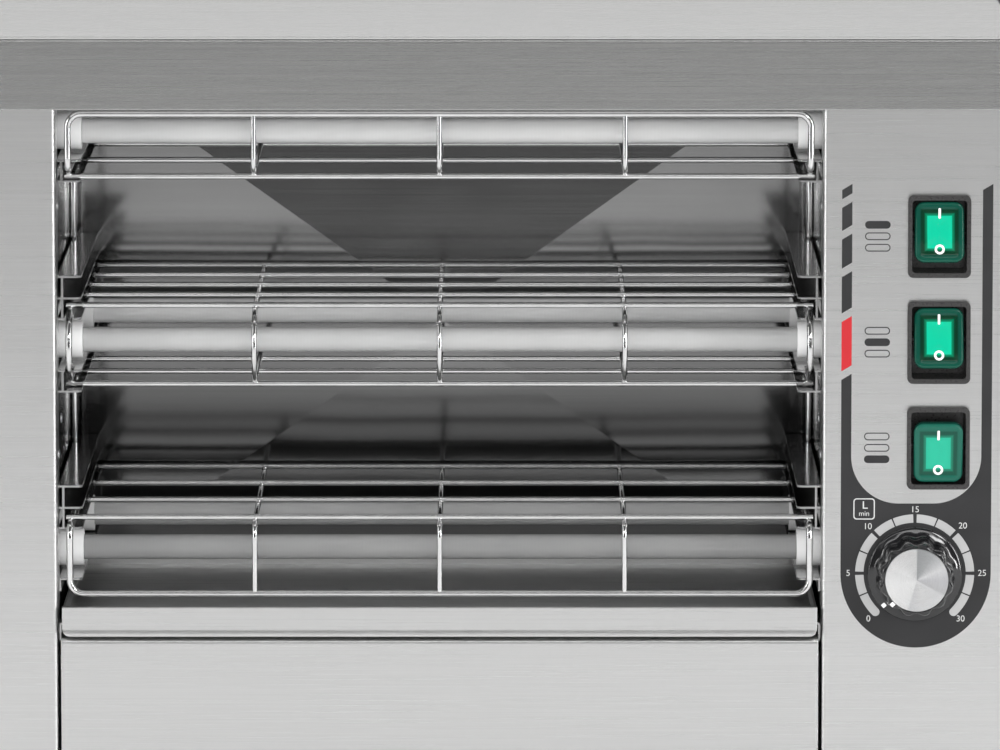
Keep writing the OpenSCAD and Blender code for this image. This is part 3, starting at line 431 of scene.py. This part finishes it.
def spun_disc(name, low, high):
    """Aluminium disc turned about the axis of the box, with the fan of light and dark that a spun face reflects
    painted into its colour.
    """
    material, tree, shader = new_material(name)
    shader.inputs["Metallic"].default_value = 1.0
    shader.inputs["Anisotropic"].default_value = 0.7
    place = split(tree, object_coords(tree))
    across = math_node(tree, "SUBTRACT", place["X"], (low.x + high.x) / 2)
    up = math_node(tree, "SUBTRACT", place["Z"], (low.z + high.z) / 2)
    radial = node(tree, "ShaderNodeCombineXYZ")
    wire(tree, across, radial.inputs["X"])
    wire(tree, up, radial.inputs["Z"])
    wire(tree, radial.outputs[0], shader.inputs["Tangent"])
    length = node(tree, "ShaderNodeVectorMath", operation="LENGTH")
    wire(tree, radial.outputs[0], length.inputs[0])
    ring = node(tree, "ShaderNodeCombineXYZ")
    wire(tree, math_node(tree, "MULTIPLY", length.outputs["Value"], 9000.0), ring.inputs["X"])
    grooves = noise(tree, ring.outputs[0], scale=1.0)
    turn = math_node(tree, "DIVIDE", math_node(tree, "ARCTAN2", up, across), 2 * math.pi)
    fan = math_node(tree, "FRACT", math_node(tree, "ADD", turn, 1.0))
    wire(tree, ramp(tree, fan, FAN_PAINTED_REFLECTION), shader.inputs["Base Color"])
    wire(tree, ramp(tree, grooves, ((0.3, grey(0.22)), (0.7, grey(0.36)))), shader.inputs["Roughness"])
    bump(tree, shader, grooves, strength=0.15, distance=0.00002)
    return material


def rocker_plastic(name, lit):
    """Translucent green rocker: a bright window, a dark ring round it painted as the shade of its inner wall, and
    a mid-green border; the off rocker's paler tones are a painted sheen.
    """
    material, tree, shader = new_material(name)
    coords = object_coords(tree)
    place = split(tree, coords)
    side = math_node(tree, "SUBTRACT", math_node(tree, "ABSOLUTE", place["X"]), WINDOW_W * MM / 2)
    ends = math_node(tree, "SUBTRACT", math_node(tree, "ABSOLUTE", place["Z"]), WINDOW_H * MM / 2)
    out = math_node(tree, "MAXIMUM", side, ends)
    haze = noise(tree, coords, scale=160.0)
    reach = math_node(tree, "ADD", math_node(tree, "MULTIPLY", out, 1.0 / (RING_SPAN * MM)),
                      math_node(tree, "MULTIPLY", math_node(tree, "SUBTRACT", haze, 0.5), 0.03))
    share = math_node(tree, "ADD", reach, 0.25, clamp=True)
    tones = ramp(tree, share, ROCKER_ON_PAINTED_SHADE if lit else ROCKER_OFF_PAINTED_SHADE_SHEEN)
    wire(tree, tones, shader.inputs["Base Color"])
    if lit:
        wire(tree, tones, shader.inputs["Emission Color"])
        shader.inputs["Emission Strength"].default_value = 0.17
    shader.inputs["Roughness"].default_value = 0.2
    shader.inputs["Specular IOR Level"].default_value = 0.12
    shader.inputs["Coat Weight"].default_value = 0.4
    shader.inputs["Coat Roughness"].default_value = 0.03
    return material


def ink(name, colour, roughness=0.42, gloss=0.5):
    """Smooth screen print."""
    return moulded(name, colour, roughness, speck=1600.0, depth=0.00001, gloss=gloss)


CASE_STEEL = brushed_steel("case_steel", (0.82, 0.82, 0.815), roughness=0.29, spread=0.04, grain=0.3,
                           stretch=0.6, edge=0.0007)
# Painted shade: the top cover is a darker copy of the case steel
COVER_STEEL_PAINTED_SHADE = brushed_steel("cover_steel_painted_shade", (0.58, 0.58, 0.575), roughness=0.27, spread=0.04, grain=0.3,
                            stretch=0.6, edge=0.0007)
CAVITY_STEEL = brushed_steel("cavity_steel", grey(0.48), roughness=0.09, spread=0.02, grain=0.06,
                             # The cavity steel carries painted shade by height
                             stretch=0.3, edge=0.0004, wave=0.0002, contrast=0.13, painted_light=CAVITY_PAINTED_SHADE)
RAIL_STEEL = brushed_steel("rail_steel", grey(0.46), roughness=0.14, spread=0.03, grain=0.1,
                           stretch=0.2, edge=0.0005, wave=0.0003, contrast=0.05)
WIRE = chrome_wire("guard_wire")
QUARTZ = frosted_quartz("quartz", QUARTZ_ROW_PAINTED_SHADE)
QUARTZ_REAR_PAINTED_LIGHT = frosted_quartz("quartz_rear_painted_light", REAR_TUBE_PAINTED_LIGHT)
CERAMIC = moulded("cap_ceramic", (0.95, 0.95, 0.945), 0.45, speck=700.0, edge=0.0006)
COIL = turned_metal("coil_wire", (0.45, 0.43, 0.40), 0.4)
BRASS = turned_metal("terminal_brass", (0.70, 0.53, 0.24), 0.35)
SWITCH_BLACK = moulded("switch_black", (0.028, 0.027, 0.027), 0.3, coat=0.25, edge=0.0009)
TIMER_PLASTIC = moulded("timer_plastic", (0.72, 0.71, 0.66), 0.5, edge=0.0004)
KNOB_BLACK = moulded("knob_black", (0.006, 0.006, 0.007), 0.14, coat=0.8, speck=1500.0, depth=0.00001)
RUBBER = moulded("foot_rubber", grey(0.02), 0.75, speck=500.0, depth=0.0001)
SCREW = turned_metal("screw_steel", (0.58, 0.58, 0.59), 0.28)
NYLON = moulded("gland_plastic", grey(0.018), 0.5, edge=0.0004)
DISC = spun_disc("knob_disc", *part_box("knob_disc"))
PRINT_DARK = ink("print_dark", (0.033, 0.033, 0.034), roughness=0.5, gloss=0.1)
PRINT_RED = ink("print_red", (0.46, 0.016, 0.022))
PRINT_LIGHT = ink("print_light", grey(0.54))
PRINT_SCALE = ink("print_scale", grey(0.4))
PRINT_WHITE = ink("print_white", (0.90, 0.91, 0.90), roughness=0.4)
GREEN_ON = rocker_plastic("rocker_green", lit=True)
GREEN_OFF = rocker_plastic("rocker_green_off", lit=False)

SLOT_MATERIALS = {
    "case_steel": CASE_STEEL, "cavity_steel": CAVITY_STEEL, "rail_steel": RAIL_STEEL, "guard_wire": WIRE,
    "quartz": QUARTZ, "cap_ceramic": CERAMIC, "coil_wire": COIL, "terminal_brass": BRASS,
    "switch_black": SWITCH_BLACK, "rocker_green": GREEN_ON, "timer_plastic": TIMER_PLASTIC,
    "knob_black": KNOB_BLACK, "knob_disc": DISC, "foot_rubber": RUBBER, "screw_steel": SCREW,
    "gland_plastic": NYLON,
}
for part in frame["record"]["subparts"]:
    piece = nodes[part["node"]]
    piece.data.materials.clear()
    piece.data.materials.append(SLOT_MATERIALS[part["material_slot"]])
# The top cover takes the darker copy of the case steel: painted shade
nodes["top_cover"].data.materials[0] = COVER_STEEL_PAINTED_SHADE
# Rear tubes take the lighter copy of the quartz: painted light
for row in ("top", "middle", "bottom"):
    nodes[f"quartz_tube_{row}_rear"].data.materials[0] = QUARTZ_REAR_PAINTED_LIGHT


# Flat print made as thin solids on the panel
def closed_curve(name, loops):
    """Curve of closed loops given in mm."""
    curve = bpy.data.curves.new(name, "CURVE")
    for points in loops:
        made = curve.splines.new("POLY")
        made.points.add(len(points) - 1)
        for target, (x, y) in zip(made.points, points):
            target.co = (x * MM, y * MM, 0.0, 1.0)
        made.use_cyclic_u = True
    return curve


def settle(name, curve, matrix, material, body):
    """Turns a filled curve drawn in width and height into a thin upright solid placed by the matrix."""
    curve.dimensions = "2D"
    curve.fill_mode = "BOTH"
    curve.extrude = PRINT_THICK * MM / 2
    made = bpy.data.objects.new(name + "_outline", curve)
    bpy.context.scene.collection.objects.link(made)
    mesh = bpy.data.meshes.new_from_object(made.evaluated_get(bpy.context.evaluated_depsgraph_get()))
    bpy.data.objects.remove(made)
    mesh.transform(Matrix.Rotation(math.radians(90), 4, "X"))
    add_piece(name, mesh, matrix, material, body)


def add_piece(name, mesh, matrix, material, body):
    mesh.materials.clear()
    mesh.materials.append(material)
    piece = bpy.data.objects.new(name, mesh)
    piece.matrix_world = matrix
    bpy.context.scene.collection.objects.link(piece)
    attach(piece, body)
    return piece


def on_panel(layer, centre=(0.0, 0.0)):
    """Place of print on the panel; layer 1 lies on layer 0."""
    depth = (layer + 0.5) * PRINT_THICK * MM
    return Matrix.Translation((PANEL_X + centre[0] * MM, FRONT - depth, PANEL_Z + centre[1] * MM))


def panel_print(name, loops, material, layer=0):
    settle(name, closed_curve(name, loops), on_panel(layer), material, "case")


def lettering(name, text, centre, height, material, layer):
    curve = bpy.data.curves.new(name, "FONT")
    curve.body = text
    curve.size = height * MM / CAP_SHARE
    curve.align_x = "CENTER"
    curve.align_y = "CENTER"
    settle(name, curve, on_panel(layer, centre), material, "case")


def on_circle(centre, radius, angle):
    turn = math.radians(angle)
    return (centre[0] + radius * math.cos(turn), centre[1] + radius * math.sin(turn))


def circle(radius, steps):
    """Points round the origin."""
    return [on_circle((0.0, 0.0), radius, 360.0 * k / steps) for k in range(steps)]


def arc(centre, radius, start, end, steps=24):
    return [on_circle(centre, radius, start + (end - start) * i / steps) for i in range(steps + 1)]


def round_box(centre, w, h, r, steps=8):
    x, y = centre
    right, up = w / 2 - r, h / 2 - r
    corners = ((right, up, 0), (-right, up, 90), (-right, -up, 180), (right, -up, 270))
    return [p for cx, cy, a in corners for p in arc((x + cx, y + cy), r, a, a + 90, steps)]


def slanted(left, top, length):
    right = left + STRIPE_W
    bottom = top - length
    return [(left, top), (left, bottom), (right, bottom + STRIPE_SLANT), (right, top + STRIPE_SLANT)]


field_left = FIELD_X - FIELD_R
field_right = FIELD_X + FIELD_R
tops = [STRIPE_TOP]
for length in STRIPE_LENGTHS + (RED_LENGTH,):
    tops.append(tops[-1] - length - STRIPE_GAP)
segments = [slanted(field_left, top, length) for top, length in zip(tops, STRIPE_LENGTHS)]
panel_print("stripe_segments", segments, PRINT_DARK)
panel_print("stripe_red", [slanted(field_left, tops[len(STRIPE_LENGTHS)], RED_LENGTH)], PRINT_RED)

tongue_left = field_left + STRIPE_W
tongue_right = field_right - STRIPE_W
tongue_corner = TONGUE_BOTTOM + TONGUE_R
field = [(field_left, tops[-1])]
field += arc((FIELD_X, DIAL.y), FIELD_R, 180, 360, steps=64)
field += [(field_right, STRIPE_TOP + STRIPE_SLANT), (tongue_right, STRIPE_TOP)]
field += arc((tongue_right - TONGUE_R, tongue_corner), TONGUE_R, 0, -90)
field += arc((tongue_left + TONGUE_R, tongue_corner), TONGUE_R, 270, 180)
field += [(tongue_left, tops[-1] + STRIPE_SLANT)]
panel_print("dial_field", [field], PRINT_DARK)


def scale_segment(index):
    """One curved bar of the minute scale: wider gaps at the five-minute marks, round ends at 0 and 30."""
    step = SCALE_SWEEP / SCALE_STEPS
    before, after = (WIDE_GAP, THIN_GAP) if index % 2 == 0 else (THIN_GAP, WIDE_GAP)
    first = index == 0
    last = index == SCALE_STEPS - 1
    start = POINTER_ANGLE - index * step - (0.0 if first else before)
    end = POINTER_ANGLE - (index + 1) * step + (0.0 if last else after)
    middle = (SCALE_OUTER + SCALE_INNER) / 2
    half = (SCALE_OUTER - SCALE_INNER) / 2
    bar = arc(DIAL, SCALE_OUTER, start, end, steps=10)
    if last:
        bar += arc(on_circle(DIAL, middle, end), half, end, end - 180, steps=12)[1:-1]
    bar += arc(DIAL, SCALE_INNER, end, start, steps=10)
    if first:
        bar += arc(on_circle(DIAL, middle, start), half, start + 180, start, steps=12)[1:-1]
    return bar


panel_print("dial_scale", [scale_segment(i) for i in range(SCALE_STEPS)], PRINT_SCALE, layer=1)

for minutes, reach in NUMBER_REACH.items():
    spot = on_circle(DIAL, reach, POINTER_ANGLE - minutes * SCALE_SWEEP / LAST_MINUTE)
    lettering(f"dial_number_{minutes}", str(minutes), spot, NUMBER_H, PRINT_LIGHT, layer=1)

icon_frame = round_box(ICON, ICON_W, ICON_W, ICON_R)
icon_inner = round_box(ICON, ICON_W - 2 * LINE_W, ICON_W - 2 * LINE_W, ICON_INNER_R)
icon_hands = [(ICON.x + x, ICON.y + y) for x, y in ICON_HANDS]
panel_print("minute_icon", [icon_frame, icon_inner, icon_hands], PRINT_LIGHT, layer=1)
lettering("minute_unit", "min", (ICON.x, ICON.y - UNIT_DROP), UNIT_H, PRINT_LIGHT, layer=1)


def pill(centre, inset):
    """Round-ended bar of a heater icon, eased so that no two points of its ends meet."""
    h = PILL_H - 2 * inset
    return round_box(centre, PILL_W - 2 * inset, h, PILL_H / 2 - inset - PILL_EASE)


for index in SWITCHES:
    low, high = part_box(f"switch_housing_{index}")
    middle = ((low.z + high.z) / 2 - PANEL_Z) / MM
    loops = []
    for row in SWITCHES:
        spot = (PILL_X, middle + (2 - row) * PILL_PITCH)
        loops.append(pill(spot, 0.0))
        if row != index:
            loops.append(pill(spot, LINE_W))
    panel_print(f"heater_icon_{index}", loops, PRINT_DARK)


# Lofted pieces: rockers, knob, rivets and rods
def loft(name, rings, matrix, material, body):
    """Closed skin through rings of equally many points, given in mm."""
    count = len(rings[0])
    verts = [(x * MM, y * MM, z * MM) for ring in rings for x, y, z in ring]
    faces = []
    for low in range(0, len(verts) - count, count):
        high = low + count
        for k in range(count):
            after = (k + 1) % count
            faces.append((low + k, low + after, high + after, high + k))
    faces.append(tuple(range(count))[::-1])
    faces.append(tuple(range(len(verts) - count, len(verts))))
    mesh = bpy.data.meshes.new(name)
    mesh.from_pydata(verts, [], faces)
    form = bmesh.new()
    form.from_mesh(mesh)
    bmesh.ops.recalc_face_normals(form, faces=form.faces)
    form.to_mesh(mesh)
    form.free()
    for face in mesh.polygons:
        face.use_smooth = True
    return add_piece(name, mesh, matrix, material, body)


def rocker_face(z):
    """Depth of the dished rocker face at a height above its middle."""
    return ROCKER_DISH * (1.0 - math.sqrt(z * z + ROCKER_CREASE) / (ROCKER_H / 2)) - ROCKER_REACH


def rocker_ring(inset, lift=0.0, back=None):
    """Outline of a rocker on its face, or flat at the depth given as back."""
    radius = max(ROCKER_LEAST_R, ROCKER_R - inset)
    outline = round_box((0.0, 0.0), ROCKER_W - 2 * inset, ROCKER_H - 2 * inset, radius, steps=10)
    return [(x, rocker_face(z) + lift if back is None else back, z) for x, z in outline]


def rocker_mark(name, loops, height, matrix, body):
    """White mark printed on the slope of a rocker's face."""
    slope = math.atan2(ROCKER_DISH, ROCKER_H / 2) * (1 if height > 0 else -1)
    on_face = Matrix.Translation((0.0, (rocker_face(height) - PRINT_THICK / 2) * MM, height * MM))
    place = matrix @ on_face @ Matrix.Rotation(slope, 4, "X")
    settle(name, closed_curve(name, loops), place, PRINT_WHITE, body)


on_mark = round_box((0.0, 0.0), ON_MARK_W, ON_MARK_H, ON_MARK_R)
off_mark = [circle(radius, OFF_MARK_STEPS) for radius in (OFF_MARK_OUTER, OFF_MARK_INNER)]
for index in SWITCHES:
    body = f"rocker_{index}"
    pivot = Vector(joints[f"rocker_{index}_tilt"]["pos_m"])
    stand = Matrix.Translation(pivot) @ Matrix.Rotation(math.radians(ROCKER_REST[index]), 4, "X")
    rings = [rocker_ring(inset, back=depth) for inset, depth in ROCKER_BACK]
    rings += [rocker_ring(inset, lift) for inset, lift in ROCKER_EDGE]
    green = GREEN_ON if ROCKER_REST[index] < 0 else GREEN_OFF
    piece = loft(f"rocker_cap_{index}", rings, stand, green, body)
    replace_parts(piece, f"rocker_{index}")
    rocker_mark(f"rocker_on_{index}", [on_mark], ON_MARK_Z, stand, body)
    rocker_mark(f"rocker_off_{index}", off_mark, OFF_MARK_Z, stand, body)


def knob_point(radius, flute, height, angle):
    wave = (0.5 + 0.5 * math.cos(math.radians(KNOB_FLUTES * angle))) ** FLUTE_SHARPNESS
    x, z = on_circle((0.0, 0.0), radius - flute * wave, angle)
    return (x, -height, z)


knob_x, knob_z = (knob_low.x + knob_high.x) / 2, (knob_low.z + knob_high.z) / 2
knob_foot = Matrix.Translation((knob_x, knob_high.y, knob_z))
knob_rings = [[knob_point(radius, flute, height, 360.0 * k / KNOB_STEPS) for k in range(KNOB_STEPS)]
              for height, radius, flute in KNOB_RINGS]
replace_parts(loft("knob_grip", knob_rings, knob_foot, KNOB_BLACK, "timer_dial"), "timer_knob")


def pointer(name, profile):
    """White line that follows the knob's skin at the pointer angle; profile gives heights and radii."""
    turn = math.radians(POINTER_ANGLE)
    out = Vector((math.cos(turn), 0.0, math.sin(turn)))
    across = Vector((-math.sin(turn), 0.0, math.cos(turn))) * POINTER_W / 2
    corners = ((-1, -POINTER_SUNK), (1, -POINTER_SUNK), (1, POINTER_PROUD), (-1, POINTER_PROUD))
    rings = []
    for height, radius in profile:
        spot = out * radius
        rings.append([tuple(spot + side * across + Vector((0.0, -height - lift, 0.0)))
                      for side, lift in corners])
    piece = loft(name, rings, knob_foot, PRINT_WHITE, "timer_dial")
    for face in piece.data.polygons:
        face.use_smooth = False


pointer("pointer_skirt", POINTER_SKIRT)
pointer("pointer_grip", POINTER_GRIP)


def rivet(name, place, inward):
    """Domed rivet head on a side wall; inward is 1 or -1 along the width."""
    rings = [[(inward * height, y, z) for y, z in circle(radius, ROUND_STEPS)]
             for height, radius in RIVET_RINGS]
    loft(name, rings, Matrix.Translation(place), SCREW, "case")


for side, (wall_x, inward) in {"left": (OPENING_LEFT, 1), "right": (PANEL_X, -1)}.items():
    for index, (height, depth) in enumerate(WALL_RIVETS, 1):
        place = Vector((wall_x, FRONT + depth * MM, PANEL_Z + height * MM))
        rivet(f"wall_rivet_{side}_{index}", place, inward)


def stop_rod(name, side, lower, upper):
    """Upright wire at the back of a deck, from the rail under it to the rail over it, on the side wall."""
    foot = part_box(f"{lower}_{side}")[1].z
    height = (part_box(f"{upper}_{side}")[0].z - foot) / MM
    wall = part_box(f"cavity_{side}_wall")
    rod_x = wall[1].x + ROD_R * MM if side == "left" else wall[0].x - ROD_R * MM
    levels = ROD_END + tuple((height - rise, inset) for rise, inset in reversed(ROD_END))
    rings = [[(x, y, level) for x, y in circle(ROD_R - inset, ROUND_STEPS)] for level, inset in levels]
    place = Matrix.Translation((rod_x, FRONT + ROD_DEPTH * MM, foot))
    loft(name, rings, place, WIRE, "case")


for side in ("left", "right"):
    stop_rod(f"stop_rod_upper_{side}", side, "upper_rack_rail", "top_guard_rail")
    stop_rod(f"stop_rod_lower_{side}", side, "lower_rack_rail", "middle_guard_rail")


# Stage, light and camera
def area_light(name, place, target, size, power, spread=180, mirrored=True):
    lamp = bpy.data.lights.new(name, "AREA")
    lamp.shape = "RECTANGLE"
    lamp.size, lamp.size_y = size
    lamp.energy = power
    lamp.spread = math.radians(spread)
    made = bpy.data.objects.new(name, lamp)
    made.location = place
    made.rotation_euler = (Vector(target) - Vector(place)).to_track_quat("-Z", "Y").to_euler()
    made.visible_glossy = mirrored
    bpy.context.scene.collection.objects.link(made)


def stage_floor():
    """Plain pale round floor."""
    mesh = bpy.data.meshes.new("stage_floor")
    rim = [(x, y, -FLOOR_DROP) for x, y in circle(FLOOR_R, FLOOR_STEPS)]
    mesh.from_pydata(rim, [], [tuple(range(FLOOR_STEPS))])
    made = bpy.data.objects.new("stage_floor", mesh)
    bpy.context.scene.collection.objects.link(made)
    made.data.materials.append(paper("stage_paper", FLOOR_PALE))


stage_floor()
CENTRE = (0.0, 0.0, 0.18)
WIDE = 130
area_light("overhead", (0.0, 0.1, 2.0), (0.0, 0.0, 0.0), (1.8, 1.0), power=9)
area_light("near_floor", (0.0, 0.1, 1.7), (0.0, -0.8, 0.0), (2.4, 0.8), power=6.7, spread=95, mirrored=False)
area_light("fill", (0.0, -5.0, 0.5), CENTRE, (2.0, 1.0), power=18.5, spread=60, mirrored=False)
area_light("front_strip", (0.0, -1.9, 1.3), CENTRE, (3.0, 0.2), power=3, spread=WIDE)
area_light("front_left", (-1.45, -2.0, 0.7), CENTRE, (1.0, 1.0), power=2.6, spread=WIDE, mirrored=False)
area_light("front_right", (1.4, -1.9, 1.5), CENTRE, (0.6, 0.6), power=5.2, spread=WIDE)
area_light("strip_left", (-1.5, -1.1, 0.45), CENTRE, (0.16, 0.9), power=2.4, spread=WIDE)
area_light("strip_right", (1.5, -1.1, 0.45), CENTRE, (0.16, 0.9), power=3.8, spread=WIDE)
area_light("left_side", (-1.6, -0.3, 1.0), CENTRE, (1.6, 1.2), power=3.2, spread=WIDE)
area_light("right_side", (1.6, -0.3, 1.0), CENTRE, (1.6, 1.2), power=3.2, spread=WIDE)
area_light("front_floor", (0.0, -1.95, 0.8), (0.0, -1.95, 0.0), (2.4, 0.5), power=2.2)
area_light("rear", (0.0, 2.2, 1.3), CENTRE, (2.0, 1.0), power=4.4, spread=WIDE)

world = bpy.data.worlds.new("studio")
bpy.context.scene.world = world
world.use_nodes = True
background = world.node_tree.nodes["Background"]
background.inputs["Color"].default_value = (*grey(WORLD_PALE), 1.0)
background.inputs["Strength"].default_value = WORLD_LEVEL

CAMERA_PITCH = 7.3
CAMERA_DISTANCE = 4.0
CAMERA_LENS = 327.9
AIM = Vector((0.0016, FRONT, 0.201))
pitch = math.radians(CAMERA_PITCH)
camera_data = bpy.data.cameras.new("camera")
camera_data.sensor_width = 36.0
camera_data.lens = CAMERA_LENS
camera_data.clip_end = 20.0
camera = bpy.data.objects.new("camera", camera_data)
camera.location = AIM + CAMERA_DISTANCE * Vector((0.0, -math.cos(pitch), math.sin(pitch)))
camera.rotation_euler = (math.radians(90.0) - pitch, 0.0, 0.0)
bpy.context.scene.collection.objects.link(camera)
bpy.context.scene.camera = camera
bpy.context.scene.view_settings.view_transform = "Standard"
